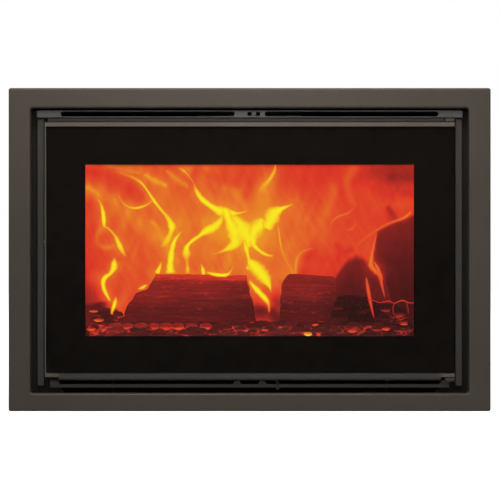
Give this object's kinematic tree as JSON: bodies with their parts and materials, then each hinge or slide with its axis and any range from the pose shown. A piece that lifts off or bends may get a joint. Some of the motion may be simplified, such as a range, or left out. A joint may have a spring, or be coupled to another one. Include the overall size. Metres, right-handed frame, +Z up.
{
  "type": "fireplace insert",
  "caption": "Landscape wood-burning fireplace insert: four-sided surround frame, side-hung black-bordered glass door, lined firebox in a convection casing, flue collar and air slides.",
  "frame": {"origin": "on the hearth plane, under the middle of the whole insert's box in X and Y", "axes": "+X to the right seen from the room, +Y from the room into the wall, +Z up"},
  "size_m": [0.82, 0.424, 0.5633],
  "materials": {
    "frame_paint": "satin warm bronze-grey stove paint",
    "fascia_paint": "satin dark grey stove paint",
    "trim_bronze": "satin bronze-grey, a little metallic",
    "black_paint": "matt black heat-proof paint",
    "casing_steel": "galvanised sheet",
    "zinc_steel": "zinc-plated steel",
    "cast_iron": "matt, slightly rough casting",
    "liner_brick": "pressed vermiculite board, glowing in the fire's light",
    "charred_wood": "charred split logs with glowing cracks",
    "embers": "glowing charcoal and ash",
    "door_glass": "clear ceramic glass with a black enamelled border",
    "glass_rope": "dark glass-fibre rope and tape"
  },
  "bodies": {
    "casing": {"surround_frame": "frame_paint", "frame_clip_left": "zinc_steel", "frame_clip_right": "zinc_steel", "casing_flange": "casing_steel", "casing_bottom": "casing_steel", "casing_top": "casing_steel", "casing_left": "casing_steel", "casing_right": "casing_steel", "casing_back": "casing_steel", "levelling_foot_front_left": "zinc_steel", "levelling_foot_front_right": "zinc_steel", "levelling_foot_back_left": "zinc_steel", "levelling_foot_back_right": "zinc_steel", "bearer_left": "casing_steel", "bearer_right": "casing_steel", "front_plate": "black_paint", "top_grille": "fascia_paint", "lintel_lip": "fascia_paint", "left_upright": "fascia_paint", "right_upright": "fascia_paint", "lower_grille": "fascia_paint", "hinge_bracket_top": "fascia_paint", "hinge_bracket_bottom": "fascia_paint", "hinge_pin_top": "zinc_steel", "hinge_pin_bottom": "zinc_steel", "catch_keeper": "zinc_steel", "firebox_base": "black_paint", "firebox_top": "black_paint", "firebox_left": "black_paint", "firebox_right": "black_paint", "firebox_back": "black_paint", "flue_collar": "cast_iron", "side_brick_left": "liner_brick", "side_brick_right": "liner_brick", "back_brick_left": "liner_brick", "back_brick_right": "liner_brick", "base_brick_left": "liner_brick", "base_brick_right": "liner_brick", "baffle": "liner_brick", "log_guard": "cast_iron", "grate": "cast_iron", "ash_pan": "casing_steel", "airwash_box": "casing_steel", "airwash_deflector": "casing_steel", "primary_air_tray": "casing_steel", "ember_bed": "embers", "log_left": "charred_wood", "log_right": "charred_wood", "log_charred": "charred_wood"},
    "door": {"door_glass": "door_glass", "door_frame": "black_paint", "door_trim_top": "trim_bronze", "door_trim_bottom": "trim_bronze", "door_trim_left": "trim_bronze", "door_rail": "fascia_paint", "rope_seal": "glass_rope", "glass_gasket": "glass_rope"},
    "catch": {"catch_cam": "zinc_steel"},
    "top_air": {"top_air_slide": "zinc_steel"},
    "primary_air": {"primary_air_slide": "zinc_steel"}
  },
  "joints": [
    {"name": "door_swing", "type": "hinge", "parent": "casing", "child": "door", "pos_m": [0.343, -0.193, 0.275], "axis": [0, 0, 1], "range_deg": [0, 110]},
    {"name": "catch_turn", "type": "hinge", "parent": "door", "child": "catch", "pos_m": [-0.333, -0.18, 0.289], "axis": [0, -1, 0], "range_deg": [0, 90]},
    {"name": "top_air_control", "type": "slide", "parent": "casing", "child": "top_air", "axis": [1, 0, 0], "range_m": [-0.007, 0.007]},
    {"name": "primary_air_control", "type": "slide", "parent": "casing", "child": "primary_air", "axis": [1, 0, 0], "range_m": [-0.012, 0.03]}
  ]
}
